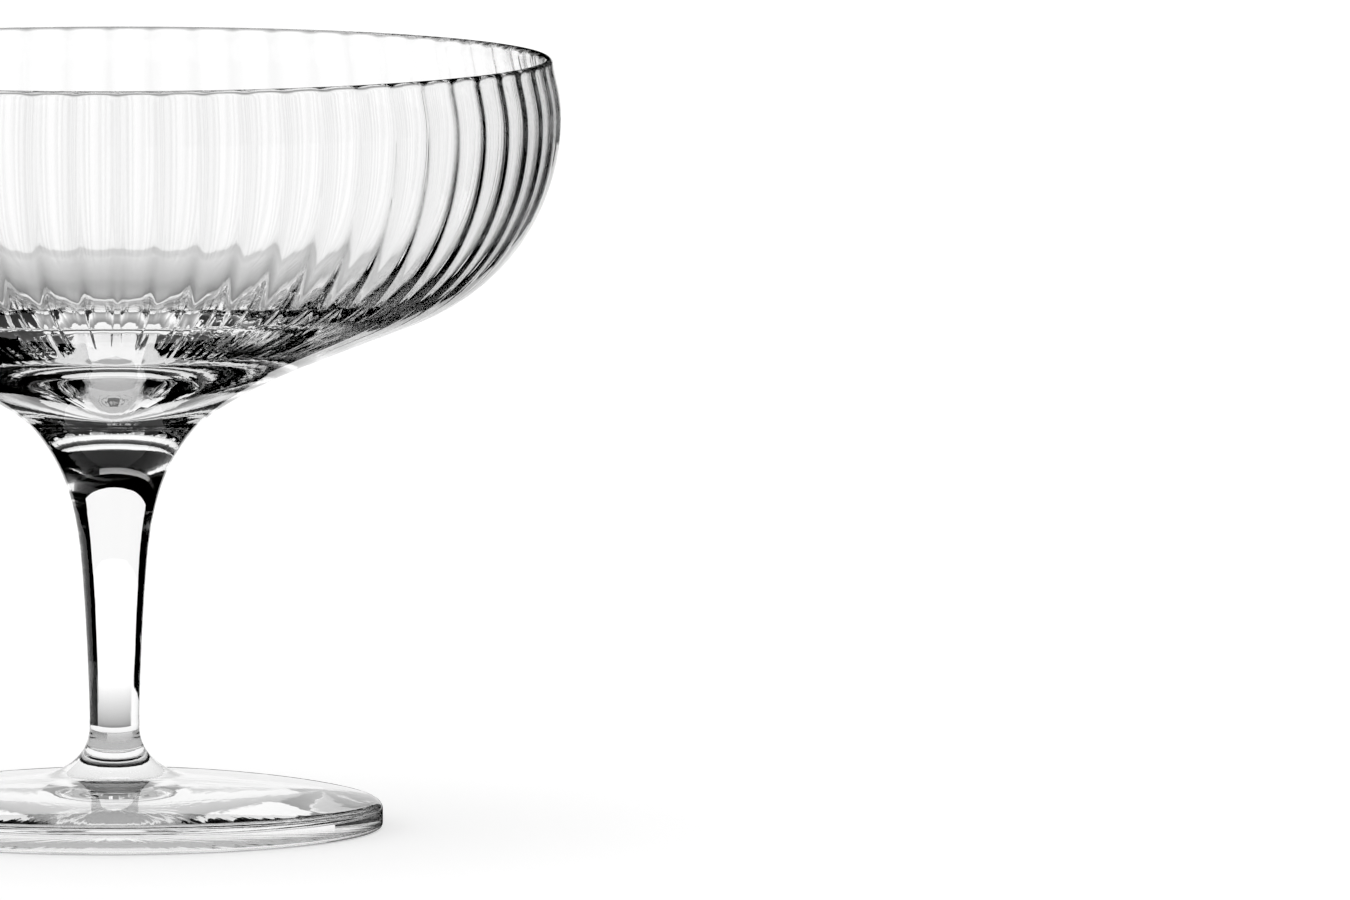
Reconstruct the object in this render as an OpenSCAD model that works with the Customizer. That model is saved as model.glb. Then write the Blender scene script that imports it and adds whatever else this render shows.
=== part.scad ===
// A champagne saucer of clear glass, blown in one piece with its drawn stem and its foot.
// Fine ribs run up the inside of the bowl. They fade out above the thick base and under the lip.
// Sizes are in millimetres. The underside of the foot lies on z = 0, round the z axis.

/* [Glass] */
// Height from the table to the top of the lip
glass_h = 96.5; // [86:0.1:110]
// Height from the table to the knuckle, where the stem opens into the bowl
knuckle_h = 50.5; // [44:0.1:56]

/* [Bowl] */
// Widest diameter of the bowl
bowl_d = 112.1; // [100:0.1:124]
// Drop from the top of the lip to the widest level
belly_drop = 7.5; // [4:0.1:12]
// Diameter at which the cone under the bowl turns up into the wall
turn_d = 76.7; // [66:0.1:84]
// Slope of that cone above the horizontal
cone_slope = 21.4; // [15:0.1:26]
// Diameter at which the straight cone starts
cone_d = 49.6; // [40:0.1:58]
// Rise from the knuckle to the start of the straight cone
cone_rise = 7.9; // [6:0.1:10]
// Thickness of the wall at the widest level
wall_t = 1.2; // [0.9:0.05:2.5]
// Diameter at which the sloping floor of the hollow turns up into the wall
floor_d = 84; // [76:0.1:88]
// Thickness of the glass under that turn, measured from the line of the cone
turn_t = 2.6; // [2:0.05:3.4]
// Height of the deepest point of the hollow above the knuckle
floor_rise = 6; // [4:0.1:8]
// Depth of the rounded dimple in which the sloping floor ends
dimple_depth = 1.8; // [0.5:0.1:3]
// Diameter of that dimple
dimple_d = 16; // [10:0.5:20]

/* [Lip] */
// Outer diameter of the lip
lip_d = 110; // [98:0.1:122]
// Thickness of the rounded lip
lip_t = 1.3; // [0.9:0.05:2]

/* [Ribs] */
// Number of ribs round the bowl
rib_count = 64; // [24:1:72]
// Height of the ribs over the inside of the wall
rib_h = 0.13; // [0.05:0.01:0.4]
// Width of a rib at half its height, as a share of its space
rib_share = 0.5; // [0.2:0.05:0.6]
// Width of the zone above the turn in which the ribs fade in
rib_fade = 10; // [4:0.5:14]
// Height of the zone under the bead in which they fade out
lip_fade = 1.6; // [1:0.1:4]

/* [Stem] */
// Diameter of the stem at the knuckle
knuckle_d = 20.8; // [16:0.1:26]
// Diameter of the slender shank where it widens into the neck
shank_d = 8.28; // [6.5:0.02:10]
// Height of that place above the table
shank_h = 33.8; // [28:0.1:38]
// Diameter of the stem at its waist
waist_d = 6.22; // [5:0.02:8]
// Height of the waist above the table
waist_h = 12.8; // [11:0.1:18]

/* [Foot] */
// Diameter of the foot
foot_d = 67.2; // [58:0.1:80]
// Height at which the edge of the foot rounds over to its top
foot_edge_h = 2.2; // [1.6:0.1:2.8]
// Height of the top of the foot where the rounded edge ends
foot_top_h = 3.55; // [3:0.05:4.2]
// Width of the rounded edge
foot_round = 1.5; // [0.8:0.1:2.5]
// Small rounding where the edge meets the table
foot_ease = 0.5; // [0.2:0.1:0.8]
// Diameter at which the foot sweeps up into the stem
flare_d = 18.8; // [14:0.1:24]
// Height of the foot at that diameter
flare_h = 6.6; // [5.5:0.1:7.5]

/* [Hidden] */
$fn = 96;

// Straight up, in the plane of the outline
up = 90;
// Half the diameters, as the outline is drawn from the axis outward
bowl_r = bowl_d / 2;
lip_r = lip_d / 2;
turn_r = turn_d / 2;
cone_r = cone_d / 2;
knuckle_r = knuckle_d / 2;
shank_r = shank_d / 2;
waist_r = waist_d / 2;
flare_r = flare_d / 2;
foot_r = foot_d / 2;
floor_r = floor_d / 2;
dimple_r = dimple_d / 2;
// Heights of the places that the outline passes
belly_z = glass_h - belly_drop;
cone_z = knuckle_h + cone_rise;
turn_z = cone_z + (turn_r - cone_r) * tan(cone_slope);
floor_z = knuckle_h + floor_rise + dimple_depth;
// The lip is a bead: a half circle over the top of the wall
bead_r = lip_t / 2;
bead_mid = [lip_r - bead_r, glass_h - bead_r];

// A point that lies a length away in a direction
function away(point, angle, length) = point + length * [cos(angle), sin(angle)];
// A smooth curve that leaves a in one direction and reaches b in another, without its first point
function curve(a, from_angle, pull_a, b, to_angle, pull_b, steps) =
    let (c = away(a, from_angle, pull_a), d = away(b, to_angle, -pull_b))
    [for (i = [1 : steps]) let (t = i / steps, s = 1 - t)
        s * s * s * a + 3 * s * s * t * c + 3 * s * t * t * d + t * t * t * b];
// An arc about a centre, both ends included
function arc(mid, radius, from_angle, to_angle, steps) =
    [for (i = [0 : steps]) away(mid, from_angle + (to_angle - from_angle) * i / steps, radius)];

// Outside of the foot, from the middle of its underside to the start of the flare
foot_line = concat(
    [[0, 0]],
    arc([foot_r - foot_ease, foot_ease], foot_ease, -up, 0, 3),
    curve([foot_r, foot_edge_h - 0.4], up, 0, [foot_r, foot_edge_h], up, 0, 1),
    curve([foot_r, foot_edge_h], up, 0.8, [foot_r - foot_round, foot_top_h], 165, 0.7, 5),
    curve([foot_r - foot_round, foot_top_h], 165, 5, [flare_r, flare_h], 175, 8, 6));
// Outside of the stem, up to the knuckle
stem_line = concat(
    curve([flare_r, flare_h], 175, 2.7, [waist_r, waist_h], up, 4.2, 9),
    curve([waist_r, waist_h], up, 2.5, [shank_r, shank_h], 86, 8, 6),
    curve([shank_r, shank_h], 84, 9.5, [knuckle_r, knuckle_h], 50, 4.5, 9));
// Outside of the bowl, up to the bead
bowl_line = concat(
    curve([knuckle_r, knuckle_h], 40, 4.8, [cone_r, cone_z], cone_slope, 5, 7),
    curve([cone_r, cone_z], cone_slope, 1, [turn_r, turn_z], cone_slope, 1, 1),
    curve([turn_r, turn_z], cone_slope, 14, [bowl_r, belly_z], up, 8.5, 14),
    curve([bowl_r, belly_z], up, 3.4, [lip_r, bead_mid[1] - 0.2], 98, 2, 6));

// The whole solid form, before the bowl is hollowed
module outer_form() {
    rotate_extrude()
        polygon(concat(foot_line, stem_line, bowl_line,
            arc(bead_mid, bead_r, 0, up, 5), [[0, glass_h]]));
}

// Inside of the bowl as [radius, height]: first the wall from the bead down to the turn
on_cone = [floor_r, cone_z + (floor_r - cone_r) * tan(cone_slope)];
inside_turn = away(on_cone, cone_slope + up, turn_t);
inside_belly = [bowl_r - wall_t, belly_z];
under_bead = away(bead_mid, 180, bead_r);
bead_top = away(bead_mid, 128, bead_r);
over_top = [0.22, 0.18];
wall_line = concat(
    [bead_top + over_top, bead_top, away(bead_mid, 155, bead_r), under_bead],
    curve(under_bead, 6 - up, 1.5, inside_belly, -up, 3, 4),
    curve(inside_belly, -up, 8.3, inside_turn, 180 + cone_slope, 11, 10));
// Then the floor, a shallow cone from the turn to the axis, with the dimple let into its middle
cone_line = curve(inside_turn, 180 + cone_slope, 4.6, [0, floor_z], 180, 1, 9);
floor_line = [for (p = cone_line) p - [0, dimple_depth * exp(-pow(p[0] / dimple_r, 2))]];
stations = len(wall_line);
rings = len(floor_line) - 1;

// Direction of the wall at a station, pointing out of the cavity into the glass
function into_glass(i) =
    let (a = wall_line[max(i - 1, 0)], b = wall_line[min(i + 1, stations - 1)], d = b - a)
    [-d[1], d[0]] / norm(d);
// The ribs are strongest on the upright wall: they end just below the bead and just above the turn
function smooth(x) = let (t = max(0, min(1, x))) t * t * (3 - 2 * t);
function strength(p) =
    smooth((bead_mid[1] - p[1]) / lip_fade) * smooth((p[0] - inside_turn[0]) / rib_fade);

// Places across one rib, as shares of its space, with the height there: the crest, a flank, the hollow, a flank
rib_places = [0, rib_share / 2, 0.5, 1 - rib_share / 2];
rib_heights = [1, 0.5, 0, 0.5];
places = len(rib_places);
columns = rib_count * places;

// A point at an angle on the inside
function turned(p, angle) = [p[0] * cos(angle), p[0] * sin(angle), p[1]];
// A point of the ribbed wall
function wall_point(i, k) =
    let (
        place = k % places,
        angle = (floor(k / places) + rib_places[place]) * 360 / rib_count,
        height = rib_h * rib_heights[place] * strength(wall_line[i])
    )
    turned(wall_line[i] - height * into_glass(i), angle);
// Numbers of the points in the list, where columns close round the bowl: on the wall, then on the plain floor
function at(i, k) = i * columns + k % columns;
function low(j, k) = stations * columns + j * rib_count + k % rib_count;
tip = low(rings, 0);

// The hollow of the bowl: four columns to a rib on the wall, and one on the floor, where no ribs are left
module hollow() {
    points = concat(
        [for (i = [0 : stations - 1], k = [0 : columns - 1]) wall_point(i, k)],
        [for (j = [0 : rings - 1], k = [0 : rib_count - 1]) turned(floor_line[j], k * 360 / rib_count)],
        [turned(floor_line[rings], 0)]);
    top = [[for (k = [columns - 1 : -1 : 0]) at(0, k)]];
    sides = [for (i = [0 : stations - 2], k = [0 : columns - 1]) each [
        [at(i, k), at(i, k + 1), at(i + 1, k)],
        [at(i, k + 1), at(i + 1, k + 1), at(i + 1, k)]
    ]];
    last = stations - 1;
    half = places / 2;
    turn = [for (k = [0 : rib_count - 1]) each concat(
        [for (m = [0 : places - 1])
            [at(last, k * places + m), at(last, k * places + m + 1), low(0, m < half ? k : k + 1)]],
        [[low(0, k), at(last, k * places + half), low(0, k + 1)]])];
    floor = [for (j = [0 : rings - 2], k = [0 : rib_count - 1]) each [
        [low(j, k), low(j, k + 1), low(j + 1, k)],
        [low(j, k + 1), low(j + 1, k + 1), low(j + 1, k)]
    ]];
    end = [for (k = [0 : rib_count - 1]) [low(rings - 1, k), low(rings - 1, k + 1), tip]];
    polyhedron(points = points, faces = concat(top, sides, turn, floor, end), convexity = 4);
}

// The glass, one clear solid
module champagne_saucer() {
    color([0.92, 0.95, 0.96, 0.35])
        difference() {
            outer_form();
            hollow();
        }
}

champagne_saucer();
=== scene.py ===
import math

import bpy
import numpy as np
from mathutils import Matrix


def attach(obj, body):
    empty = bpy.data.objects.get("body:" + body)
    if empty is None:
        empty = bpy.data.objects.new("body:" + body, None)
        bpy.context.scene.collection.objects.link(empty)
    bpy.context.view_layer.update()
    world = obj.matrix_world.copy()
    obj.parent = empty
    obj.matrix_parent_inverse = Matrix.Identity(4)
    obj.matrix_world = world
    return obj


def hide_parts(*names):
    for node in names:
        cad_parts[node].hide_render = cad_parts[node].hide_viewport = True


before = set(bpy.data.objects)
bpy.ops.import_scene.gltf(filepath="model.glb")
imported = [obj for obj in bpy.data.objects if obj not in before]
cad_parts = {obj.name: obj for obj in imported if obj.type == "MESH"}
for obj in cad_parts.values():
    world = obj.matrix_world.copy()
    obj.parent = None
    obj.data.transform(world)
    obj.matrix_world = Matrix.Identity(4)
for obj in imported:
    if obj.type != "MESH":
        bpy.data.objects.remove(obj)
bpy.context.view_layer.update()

# The glass. Bowl, stem and foot are one body of clear crystal. The bowl is blown in a ribbed mould, and its
# ribs stand a little proud on both faces of the wall. The stem is drawn out of the bowl's thick base, the
# foot is spread from a gob of the same glass, and the lip is cut off and melted round in a flame.
MM = 0.001
# places on the outline in half section, as (distance from the axis, height over the table), in millimetres
FLARE, WAIST, SHANK, KNUCKLE = (9.4, 6.6), (3.11, 12.8), (4.14, 33.8), (10.4, 50.5)
FOOT_R, FOOT_EDGE_Z, FOOT_TOP_Z = 33.6, 2.2, 3.55
FOOT_ROUND, FOOT_EASE = 1.5, 0.5
UNDERSIDE_RINGS = (6.0, 14.0, 22.0, 29.0)
CONE_R, CONE_RISE, CONE_SLOPE = 24.8, 7.9, 21.4
WALL_START_R = 38.35
BOWL_R, BELLY_DROP = 56.01, 7.5
GLASS_H = 96.5
LIP_R, BEAD_R = 55.0, 0.65
WALL_T, TURN_T, INSIDE_TURN_R = 1.2, 2.6, 42.0
FLOOR_RISE, FLOOR_SLOPE = 6.0, 21.4
DIMPLE_DEPTH, DIMPLE_R = 1.8, 8.0
# directions in which the outline passes those places, in degrees above straight outward
UP, INWARD, DOWN = 90, 180, -90
EDGE_LEAN, FLARE_LEAN, SHANK_LEAN = 165, 175, 85
NECK_LEAN, KNUCKLE_LEAN = 50, 40
LIP_LEAN, LIP_INSIDE_LEAN = 97, -84
# how far each curve of the outline keeps to those directions, at its start and at its end
SIDE_PULLS, EDGE_PULLS, DOME_PULLS = (0.5, 0.5), (0.8, 0.7), (5, 8)
FLARE_PULLS, SHANK_PULLS, NECK_PULLS = (2.7, 4.2), (2.5, 8), (9.5, 4.5)
KNUCKLE_PULLS, CONE_PULLS, TURN_PULLS, RIM_PULLS = (4.8, 5), (5, 5), (14, 8.5), (3.4, 2)
RIM_INSIDE_PULLS, WALL_PULLS, FLOOR_PULLS = (1.5, 3), (8.3, 11.0), (4.6, 1.0)
# the ribs: their heights, how narrow their crests are, and the zones in which they fade
RIBS, RIB_PHASE = 64, 0.55
INNER_RIB, INNER_SHARPNESS = 0.22, 2.0
OUTER_RIB, OUTER_SHARPNESS = 0.03, 12.0
LIP_FADE, RIB_FADE, OUTER_FADE = 0.9, 10.0, 14.0
FLOOR_SHARE, FLOOR_RIB_R, FLOOR_FADE = 0.15, 24.0, 10.0


def away(point, angle, length):
    a = math.radians(angle)
    return np.array(point, float) + length * np.array([math.cos(a), math.sin(a)])


def curve(a, angle_a, b, angle_b, pulls, steps):
    """Points of a smooth curve from a to b, each with the direction there, without its first point"""
    a, b = np.array(a, float), np.array(b, float)
    c, d = away(a, angle_a, pulls[0]), away(b, angle_b, -pulls[1])
    found = []
    for t in (i / steps for i in range(1, steps + 1)):
        s = 1 - t
        spot = s ** 3 * a + 3 * s * s * t * c + 3 * s * t * t * d + t ** 3 * b
        run = s * s * (c - a) + 2 * s * t * (d - c) + t * t * (b - d)
        found.append((*spot, *(run / np.linalg.norm(run))))
    return found


def arc(middle, radius, start, end, steps):
    """Points of an arc, each with its direction, without its first point"""
    found = []
    for i in range(1, steps + 1):
        turned = start + (end - start) * i / steps
        ahead = turned + math.copysign(90, end - start)
        found.append((*away(middle, turned, radius), *away((0, 0), ahead, 1)))
    return found


# the outline of the glass in half section, up the outside, over the lip and down the inside
cone_climb = math.tan(math.radians(CONE_SLOPE))
cone_start = (CONE_R, KNUCKLE[1] + CONE_RISE)
wall_start = (WALL_START_R, cone_start[1] + (WALL_START_R - CONE_R) * cone_climb)
belly = (BOWL_R, GLASS_H - BELLY_DROP)
bead = np.array([LIP_R - BEAD_R, GLASS_H - BEAD_R])
shoulder = (FOOT_R - FOOT_ROUND, FOOT_TOP_Z)
foot_line = ([(r, 0.0, 1.0, 0.0) for r in (*UNDERSIDE_RINGS, FOOT_R - 2 * FOOT_EASE, FOOT_R - FOOT_EASE)]
             + arc((FOOT_R - FOOT_EASE, FOOT_EASE), FOOT_EASE, -90, 0, steps=5)
             + curve((FOOT_R, FOOT_EASE), UP, (FOOT_R, FOOT_EDGE_Z), UP, SIDE_PULLS, steps=3)
             + curve((FOOT_R, FOOT_EDGE_Z), UP, shoulder, EDGE_LEAN, EDGE_PULLS, steps=8)
             + curve(shoulder, EDGE_LEAN, FLARE, FLARE_LEAN, DOME_PULLS, steps=14))
stem_line = (curve(FLARE, FLARE_LEAN, WAIST, UP, FLARE_PULLS, steps=16)
             + curve(WAIST, UP, SHANK, SHANK_LEAN, SHANK_PULLS, steps=12)
             + curve(SHANK, SHANK_LEAN, KNUCKLE, NECK_LEAN, NECK_PULLS, steps=14))
cone_line = curve(KNUCKLE, KNUCKLE_LEAN, cone_start, CONE_SLOPE, KNUCKLE_PULLS, steps=9)
wall_line = (curve(cone_start, CONE_SLOPE, wall_start, CONE_SLOPE, CONE_PULLS, steps=5)
             + curve(wall_start, CONE_SLOPE, belly, UP, TURN_PULLS, steps=16)
             + curve(belly, UP, (LIP_R, bead[1]), LIP_LEAN, RIM_PULLS, steps=6)
             + arc(bead, BEAD_R, 0, 90, steps=5))

under_turn = (INSIDE_TURN_R, wall_start[1] + (INSIDE_TURN_R - WALL_START_R) * cone_climb)
turn_inside = away(under_turn, CONE_SLOPE + UP, TURN_T)
belly_inside = (BOWL_R - WALL_T, belly[1])
inside_line = (arc(bead, BEAD_R, 90, 180, steps=5)
               + curve(bead - (BEAD_R, 0), LIP_INSIDE_LEAN, belly_inside, DOWN, RIM_INSIDE_PULLS, steps=7)
               + curve(belly_inside, DOWN, turn_inside, INWARD + FLOOR_SLOPE, WALL_PULLS, steps=20))

# the floor slopes down to the axis, and the dimple is let into its middle
floor_end = (0, KNUCKLE[1] + FLOOR_RISE + DIMPLE_DEPTH)
sloping_line = curve(turn_inside, INWARD + FLOOR_SLOPE, floor_end, INWARD, FLOOR_PULLS, steps=28)
floor_line = []
for r, z, run_r, run_z in sloping_line[:-1]:
    dimple = DIMPLE_DEPTH * math.exp(-(r / DIMPLE_R) ** 2)
    run = (run_r, run_z + dimple * 2 * r / DIMPLE_R ** 2 * run_r)
    floor_line.append((r, z - dimple, *(run / np.linalg.norm(run))))


def smooth(x):
    t = np.clip(x, 0, 1)
    return t * t * (3 - 2 * t)


def rib_height(angle, r, z, inside):
    """How far the ribs stand proud of one face of the wall"""
    spaces = RIBS * (angle - math.radians(RIB_PHASE)) / (2 * math.pi)
    across = np.cos(math.pi * spaces) ** 2
    below_lip = smooth((GLASS_H - z) / LIP_FADE)
    if inside:
        up_wall = smooth((r - turn_inside[0]) / RIB_FADE)
        over_floor = smooth((r - FLOOR_RIB_R) / FLOOR_FADE)
        share = FLOOR_SHARE * over_floor + (1 - FLOOR_SHARE) * up_wall
        return INNER_RIB * below_lip * share * across ** INNER_SHARPNESS
    return OUTER_RIB * below_lip * smooth((r - CONE_R) / OUTER_FADE) * across ** OUTER_SHARPNESS


# columns of points round the glass, crowded on the crest of each rib; angle 0 is the front, 90 the right
CREST_HALF, ON_CREST, BETWEEN = 0.14, 9, 5
PLAIN_EVERY = 4
on_crest = np.linspace(-CREST_HALF, CREST_HALF, ON_CREST)
between = np.linspace(CREST_HALF, 1 - CREST_HALF, BETWEEN + 2)[1:-1]
across_rib = np.concatenate([on_crest, between])
turns_round = np.concatenate([(k + across_rib) / RIBS for k in range(RIBS)])
ribbed = turns_round * 2 * math.pi + math.radians(RIB_PHASE)
plain = ribbed[::PLAIN_EVERY]
rings = ([(s, plain, None) for s in foot_line + stem_line + cone_line]
         + [(s, ribbed, False) for s in wall_line]
         + [(s, ribbed, True) for s in inside_line]
         + [(s, ribbed if s[0] > FLOOR_RIB_R else plain, True) for s in floor_line])

# every ring of points, with the direction in which the surface faces at each of them
SMALL_TURN, SMALL_RUN = 1e-5, 0.01
points, normals, starts = [np.zeros((1, 3))], [np.array([[0, 0, -1.0]])], []
count = 1
for (r, z, run_r, run_z), angle, inside in rings:
    out_r, out_z = run_z, -run_r
    proud = np.zeros(len(angle))
    round_slope = np.zeros(len(angle))
    along_slope = np.zeros(len(angle))
    if inside is not None:
        proud = rib_height(angle, r, z, inside)
        before = rib_height(angle - SMALL_TURN, r, z, inside)
        after = rib_height(angle + SMALL_TURN, r, z, inside)
        round_slope = (after - before) / (2 * SMALL_TURN * r)
        ahead = rib_height(angle, r + SMALL_RUN * run_r, z + SMALL_RUN * run_z, inside)
        along_slope = (ahead - proud) / SMALL_RUN
    around = np.stack([np.sin(angle), -np.cos(angle)], 1)
    beside = np.stack([np.cos(angle), np.sin(angle)], 1)
    rib_r, rib_z = r + proud * out_r, z + proud * out_z
    points.append(np.column_stack([around * rib_r[:, None], rib_z]))
    lean_r, lean_z = out_r - along_slope * run_r, out_z - along_slope * run_z
    normal = np.column_stack([around * lean_r[:, None] - beside * round_slope[:, None], lean_z])
    normals.append(normal / np.linalg.norm(normal, axis=1)[:, None])
    starts.append((count, len(angle)))
    count += len(angle)
points.append(np.array([[0, 0, floor_end[1] - DIMPLE_DEPTH]]))
normals.append(np.array([[0, 0, 1.0]]))
points, normals = np.concatenate(points) * MM, np.concatenate(normals)

# quads between like rings, and fans of triangles where a plain ring meets a ribbed one
start, n = starts[0]
faces = [(0, start + (k + 1) % n, start + k) for k in range(n)]
for (a, na), (b, nb) in zip(starts, starts[1:]):
    if na == nb:
        faces += [(a + k, a + (k + 1) % na, b + (k + 1) % na, b + k) for k in range(na)]
    elif nb > na:
        m = nb // na
        for k in range(na):
            k2 = (k + 1) % na
            for j in range(m):
                faces.append((a + (k if j < m / 2 else k2), b + (k * m + j + 1) % nb, b + k * m + j))
            faces.append((a + k, a + k2, b + (k * m + m // 2) % nb))
    else:
        m = na // nb
        for k in range(nb):
            k2 = (k + 1) % nb
            for j in range(m):
                faces.append((a + k * m + j, a + (k * m + j + 1) % na, b + (k if j < m / 2 else k2)))
            faces.append((b + k, a + (k * m + m // 2) % na, b + k2))
start, n = starts[-1]
faces += [(start + k, start + (k + 1) % n, count) for k in range(n)]

mesh = bpy.data.meshes.new("champagne_saucer_glass")
mesh.from_pydata(points.tolist(), [], faces)
for p in mesh.polygons:
    p.use_smooth = True
mesh.normals_split_custom_set_from_vertices(normals.tolist())
mesh.update()
glass = bpy.data.objects.new("champagne_saucer_glass", mesh)
bpy.context.collection.objects.link(glass)

# clear crystal: blowing draws faint streaks and waves up the wall, and the grey on the rib crests is painted
# shade
CRYSTAL_IOR, SHEEN_SHARE = 1.5, 0.5
STREAKS_ROUND, STREAKS_UP, STREAK_DETAIL = 50.0, 10.0, 3.0
STREAK_LOW, STREAK_HIGH, STREAK_TINT = 0.35, 0.65, 0.975
# painted shade on the rib crests: how grey it is, how narrow, and the radius from which it is full
RIB_SHADE, RIB_SHADE_SHARPNESS, FULL_SHADE_R = 0.92, 3.0, 50.0
WAVE, WAVES_ROUND, WAVES_UP, WAVE_DETAIL = 0.00002, 9.0, 40.0, 2.0
crystal = bpy.data.materials.new("clear crystal")
crystal.use_nodes = True
nodes, links = crystal.node_tree.nodes, crystal.node_tree.links
shader = nodes["Principled BSDF"]
shader.inputs["Base Color"].default_value = (1.0, 1.0, 1.0, 1)
shader.inputs["Roughness"].default_value = 0.0
shader.inputs["IOR"].default_value = CRYSTAL_IOR
shader.inputs["Transmission Weight"].default_value = 1.0
shader.inputs["Specular Tint"].default_value = (SHEEN_SHARE, SHEEN_SHARE, SHEEN_SHARE, 1)
place = nodes.new("ShaderNodeTexCoord")
axes = nodes.new("ShaderNodeSeparateXYZ")
links.new(place.outputs["Object"], axes.inputs[0])
level = nodes.new("ShaderNodeCombineXYZ")
links.new(axes.outputs["X"], level.inputs["X"])
links.new(axes.outputs["Y"], level.inputs["Y"])
outward = nodes.new("ShaderNodeVectorMath")
outward.operation = "NORMALIZE"
links.new(level.outputs[0], outward.inputs[0])
height = nodes.new("ShaderNodeCombineXYZ")
links.new(axes.outputs["Z"], height.inputs["Z"])


def drawn_noise(rounds, ups, detail):
    """Noise drawn out along the height of the glass, with its fineness round the glass and up it"""
    around = nodes.new("ShaderNodeVectorMath")
    around.operation = "SCALE"
    around.inputs["Scale"].default_value = rounds
    links.new(outward.outputs["Vector"], around.inputs[0])
    climb = nodes.new("ShaderNodeVectorMath")
    climb.operation = "SCALE"
    climb.inputs["Scale"].default_value = ups
    links.new(height.outputs[0], climb.inputs[0])
    both = nodes.new("ShaderNodeVectorMath")
    links.new(around.outputs["Vector"], both.inputs[0])
    links.new(climb.outputs["Vector"], both.inputs[1])
    noise = nodes.new("ShaderNodeTexNoise")
    noise.inputs["Scale"].default_value = 1.0
    noise.inputs["Detail"].default_value = detail
    links.new(both.outputs["Vector"], noise.inputs["Vector"])
    return noise.outputs["Fac"]


def reckoned(operation, value, number=None, other=None):
    """A sum on one value of the material, with a number or with another of its values"""
    reckoning = nodes.new("ShaderNodeMath")
    reckoning.operation = operation
    links.new(value, reckoning.inputs[0])
    if number is not None:
        reckoning.inputs[1].default_value = number
    if other is not None:
        links.new(other, reckoning.inputs[1])
    return reckoning.outputs[0]


streaks = nodes.new("ShaderNodeMapRange")
streaks.inputs["From Min"].default_value = STREAK_LOW
streaks.inputs["From Max"].default_value = STREAK_HIGH
streaks.inputs["To Min"].default_value = STREAK_TINT
streaks.inputs["To Max"].default_value = 1.0
links.new(drawn_noise(STREAKS_ROUND, STREAKS_UP, STREAK_DETAIL), streaks.inputs["Value"])

# painted shade: grey along each rib crest of the wall, for the dark lines that the ribs show
front = reckoned("MULTIPLY", axes.outputs["Y"], -1.0)
angle_out = reckoned("ARCTAN2", axes.outputs["X"], other=front)
half_turns = reckoned("MULTIPLY", reckoned("SUBTRACT", angle_out, math.radians(RIB_PHASE)), RIBS / 2)
crest = reckoned("POWER", reckoned("ABSOLUTE", reckoned("COSINE", half_turns)), RIB_SHADE_SHARPNESS)
radius = nodes.new("ShaderNodeVectorMath")
radius.operation = "LENGTH"
links.new(level.outputs[0], radius.inputs[0])
on_wall = nodes.new("ShaderNodeMapRange")
on_wall.interpolation_type = "SMOOTHSTEP"
on_wall.inputs["From Min"].default_value = CONE_R * MM
on_wall.inputs["From Max"].default_value = FULL_SHADE_R * MM
links.new(radius.outputs["Value"], on_wall.inputs["Value"])
above_foot = reckoned("GREATER_THAN", axes.outputs["Z"], cone_start[1] * MM)
rib_shade_mask = reckoned("MULTIPLY", reckoned("MULTIPLY", crest, other=on_wall.outputs["Result"]), other=above_foot)
painted_rib_shade = reckoned("ADD", reckoned("MULTIPLY", rib_shade_mask, RIB_SHADE - 1.0), 1.0)
streaks_and_rib_shade = reckoned("MULTIPLY", streaks.outputs["Result"], other=painted_rib_shade)
links.new(streaks_and_rib_shade, shader.inputs["Base Color"])

wave = nodes.new("ShaderNodeBump")
wave.inputs["Strength"].default_value = 1.0
wave.inputs["Distance"].default_value = WAVE
links.new(drawn_noise(WAVES_ROUND, WAVES_UP, WAVE_DETAIL), wave.inputs["Height"])
links.new(wave.outputs["Normal"], shader.inputs["Normal"])
mesh.materials.append(crystal)
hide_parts("champagne_saucer")
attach(glass, "root")

# The table. A plain white sheet lies under the glass and reaches past every view. It glows a little, so that
# it is as white as the surround, and it keeps the soft shadow of the foot. The glass doesn't mirror it.
TABLE_HALF, TABLE_GAP = 9.0, 0.0001
TABLE_WHITE, TABLE_GLOW = 0.62, 0.48
corners = [(x * TABLE_HALF, y * TABLE_HALF, -TABLE_GAP) for x, y in ((-1, -1), (1, -1), (1, 1), (-1, 1))]
mesh = bpy.data.meshes.new("table")
mesh.from_pydata(corners, [], [(0, 1, 2, 3)])
table = bpy.data.objects.new("table", mesh)
bpy.context.collection.objects.link(table)
white_sheet = bpy.data.materials.new("white sheet")
white_sheet.use_nodes = True
shader = white_sheet.node_tree.nodes["Principled BSDF"]
shader.inputs["Base Color"].default_value = (TABLE_WHITE, TABLE_WHITE, TABLE_WHITE, 1)
shader.inputs["Roughness"].default_value = 1.0
shader.inputs["Specular IOR Level"].default_value = 0.0
shader.inputs["Emission Color"].default_value = (1, 1, 1, 1)
shader.inputs["Emission Strength"].default_value = TABLE_GLOW
mesh.materials.append(white_sheet)
table.visible_glossy = False

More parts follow.
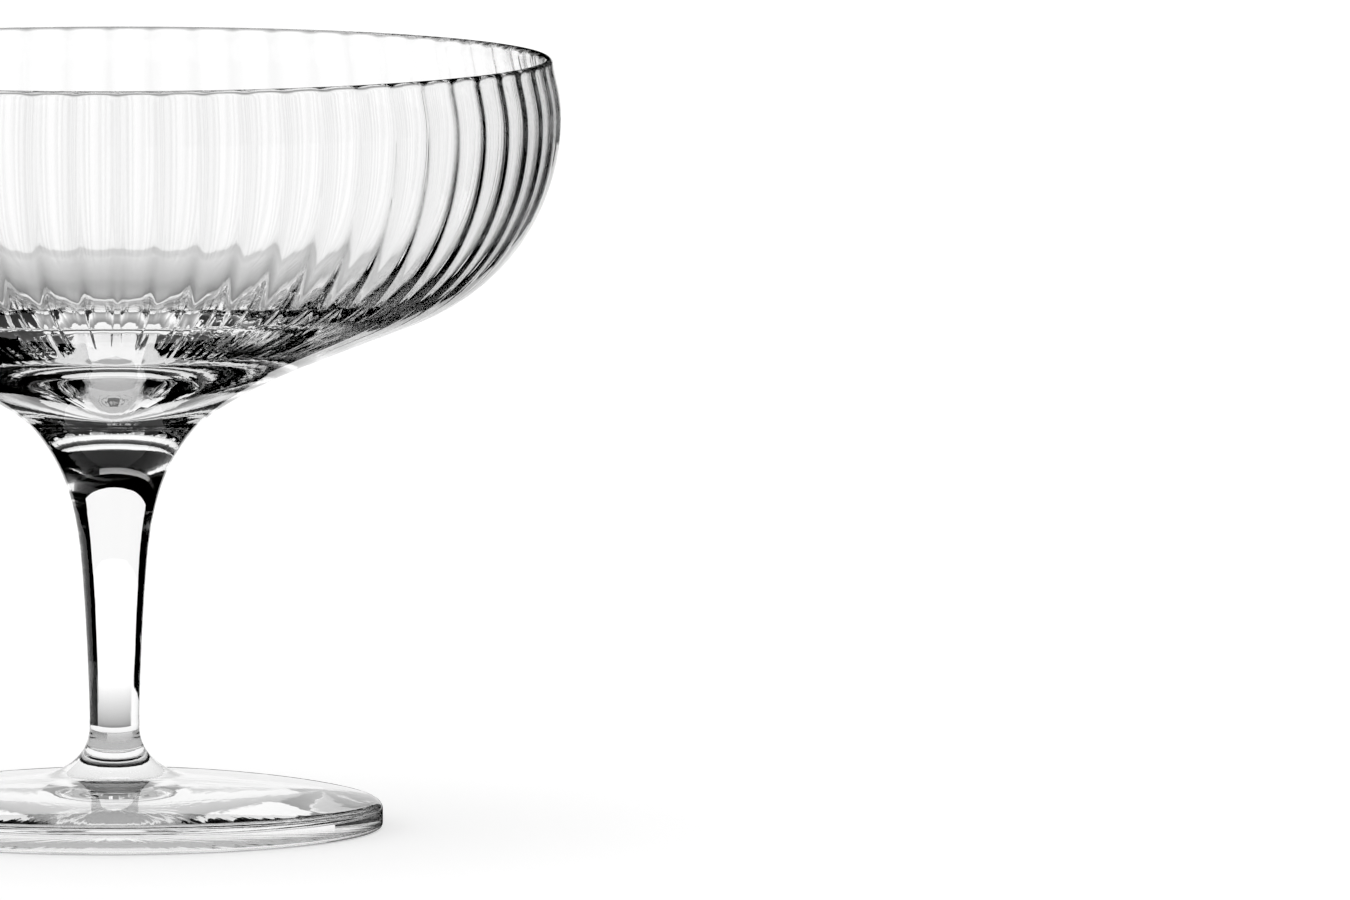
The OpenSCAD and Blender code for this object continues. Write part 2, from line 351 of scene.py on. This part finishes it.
# The studio. Sheets of black felt lie, stand and hang round the glass, and only the glass sees them. They put
# the dark edges into it, and between them it sees the white surround. A black tent with a small floor keeps
# the white off its faces, and is seen in its reflections alone.
CARD_LIFT, CARD_H = 0.0003, 0.6
LYING_REACH = 1.5
LYING_CARDS = (("lying_right", (29, 50, 78), 0.1), ("lying_left", (-37, -56, -75), 0.31),
               ("lying_back_left", (-106, -120, -140), 0.1), ("lying_front", (165, 190, 220), 0.1))
RIGHT_CARD = ((0.106, 0.192), (0.246, 0.062), (0.256, -0.08))
LEFT_CARD, LEFT_CARD_LIFT = ((-0.146, 0.192), (-0.29, 0.078)), 0.02
FRONT_CARD_TURNS, FRONT_CARD_REACH = (165, 205, 250), 0.4
CEILING_HALF, CEILING_BACK, CEILING_FRONT, CEILING_Z = 1.2, 0.192, -1.2, 0.105
TENT_R, TENT_H, TENT_FLOOR_Z = 0.9, 1.2, -0.002
TENT_FROM, TENT_TO, TENT_STEPS = 12, 323, 12
FLOOR_BACK, BEHIND, FLOOR_CORNERS = 0.15, 0.1, 24
black_felt = bpy.data.materials.new("black felt")
black_felt.use_nodes = True
shader = black_felt.node_tree.nodes["Principled BSDF"]
shader.inputs["Base Color"].default_value = (0.0, 0.0, 0.0, 1)
shader.inputs["Roughness"].default_value = 1.0
shader.inputs["Specular IOR Level"].default_value = 0.0


def black_sheet(name, corners, faces):
    sheet = bpy.data.meshes.new(name)
    sheet.from_pydata(corners, [], faces)
    card = bpy.data.objects.new(name, sheet)
    bpy.context.collection.objects.link(card)
    sheet.materials.append(black_felt)
    card.visible_camera = False
    card.visible_diffuse = False
    card.visible_shadow = False
    return card


def at_turn(turn, distance):
    """A place on the table; a turn of 0 is straight behind the glass, and 90 is to its right"""
    a = math.radians(turn)
    return (distance * math.sin(a), distance * math.cos(a))


def standing_card(name, bottom, ends):
    corners = [(*end, z) for end in ends for z in (bottom, CARD_H)]
    black_sheet(name, corners, [(2 * k, 2 * k + 2, 2 * k + 3, 2 * k + 1) for k in range(len(ends) - 1)])


for name, turns, near in LYING_CARDS:
    corners = [(*at_turn(turn, distance), CARD_LIFT) for turn in turns for distance in (near, LYING_REACH)]
    black_sheet(name, corners, [(2 * k, 2 * k + 1, 2 * k + 3, 2 * k + 2) for k in range(len(turns) - 1)])
standing_card("card_right", 0.0, RIGHT_CARD)
standing_card("card_left", LEFT_CARD_LIFT, LEFT_CARD)
standing_card("card_front", 0.0, [at_turn(turn, FRONT_CARD_REACH) for turn in FRONT_CARD_TURNS])
black_sheet("ceiling",
            [(-CEILING_HALF, CEILING_FRONT, CEILING_Z), (CEILING_HALF, CEILING_FRONT, CEILING_Z),
             (CEILING_HALF, CEILING_BACK, CEILING_Z), (-CEILING_HALF, CEILING_BACK, CEILING_Z)],
            [(0, 1, 2, 3)])
turns = [TENT_FROM + (TENT_TO - TENT_FROM) * k / TENT_STEPS for k in range(TENT_STEPS + 1)]
n = len(turns)
tent = black_sheet("tent",
                   [(*at_turn(turn, TENT_R), z) for z in (TENT_FLOOR_Z, TENT_H) for turn in turns],
                   [(k, k + 1, n + k + 1, n + k) for k in range(n - 1)] + [tuple(range(n, 2 * n))])
tent.visible_transmission = False
turns = [360 / FLOOR_CORNERS * k for k in range(FLOOR_CORNERS)]
reaches = [FLOOR_BACK if math.cos(math.radians(turn)) > BEHIND else TENT_R for turn in turns]
tent_floor = black_sheet("tent_floor",
                         [(*at_turn(turn, reach), TENT_FLOOR_Z) for turn, reach in zip(turns, reaches)],
                         [tuple(range(FLOOR_CORNERS))])
tent_floor.visible_transmission = False

# The shade. A strip with a painted shadow lies on the table behind the foot, darkest at its near end. It
# glows a little so that its far end meets the white table. It is seen only through the glass, where it shades
# the low end of the stem.
SHADE_NEAR, SHADE_MID, SHADE_FAR = 0.085, 0.1, 0.27
SHADE_TURN, SHADE_LIFT = 30, 0.0006
SHADE_DARK, SHADE_GLOW = 0.2, 0.12
corners = ((-SHADE_TURN, SHADE_NEAR), (SHADE_TURN, SHADE_NEAR),
           (SHADE_TURN, SHADE_FAR), (-SHADE_TURN, SHADE_FAR))
mesh = bpy.data.meshes.new("shaded_strip")
reaches = [back / math.cos(math.radians(turn)) for turn, back in corners]
mesh.from_pydata([(*at_turn(turn, reach), SHADE_LIFT) for (turn, back), reach in zip(corners, reaches)],
                 [], [(0, 1, 2, 3)])
shade = bpy.data.objects.new("shaded_strip", mesh)
bpy.context.collection.objects.link(shade)
painted_shadow_sheet = bpy.data.materials.new("painted shadow")
painted_shadow_sheet.use_nodes = True
nodes, links = painted_shadow_sheet.node_tree.nodes, painted_shadow_sheet.node_tree.links
shader = nodes["Principled BSDF"]
shader.inputs["Roughness"].default_value = 1.0
shader.inputs["Specular IOR Level"].default_value = 0.0
shader.inputs["Emission Color"].default_value = (1, 1, 1, 1)
shader.inputs["Emission Strength"].default_value = SHADE_GLOW
place = nodes.new("ShaderNodeTexCoord")
axes = nodes.new("ShaderNodeSeparateXYZ")
links.new(place.outputs["Object"], axes.inputs[0])
# painted shadow: dark at the near end, fading to white at the far end
fade = nodes.new("ShaderNodeMapRange")
fade.inputs["From Min"].default_value = SHADE_MID
fade.inputs["From Max"].default_value = SHADE_FAR
fade.inputs["To Min"].default_value = SHADE_DARK
fade.inputs["To Max"].default_value = 1.0
links.new(axes.outputs["Y"], fade.inputs["Value"])
links.new(fade.outputs["Result"], shader.inputs["Base Color"])
mesh.materials.append(painted_shadow_sheet)
shade.visible_camera = False
shade.visible_diffuse = False
shade.visible_glossy = False
shade.visible_shadow = False

# The light. An even white surround, as bright to the eye through the glass as it is behind it.
world = bpy.data.worlds.new("white surround")
bpy.context.scene.world = world
world.use_nodes = True
world.node_tree.nodes["Background"].inputs["Color"].default_value = (1, 1, 1, 1)
world.node_tree.nodes["Background"].inputs["Strength"].default_value = 1.0

# The camera. It stands 3.1 m in front with a long lens and looks down by 5 degrees, with the glass's axis
# left of the middle. The light may bend many times in the glass before it reaches the lens.
FOCAL_PIXELS, FRAME_WIDTH = 24672.0, 1350.0
CAMERA_PLACE = (0.0, -3.075, 0.326)
CAMERA_TILT, CAMERA_TURN = 5.179, 1.308
camera_data = bpy.data.cameras.new("camera")
camera_data.sensor_width = 36.0
camera_data.lens = FOCAL_PIXELS / FRAME_WIDTH * camera_data.sensor_width
camera_data.clip_end = 100.0
camera = bpy.data.objects.new("camera", camera_data)
bpy.context.collection.objects.link(camera)
camera.location = CAMERA_PLACE
camera.rotation_euler = (math.radians(90 - CAMERA_TILT), 0.0, math.radians(-CAMERA_TURN))
scene = bpy.context.scene
scene.camera = camera
scene.view_settings.view_transform = "Standard"
scene.cycles.max_bounces = 32
scene.cycles.transmission_bounces = 32
scene.cycles.glossy_bounces = 16
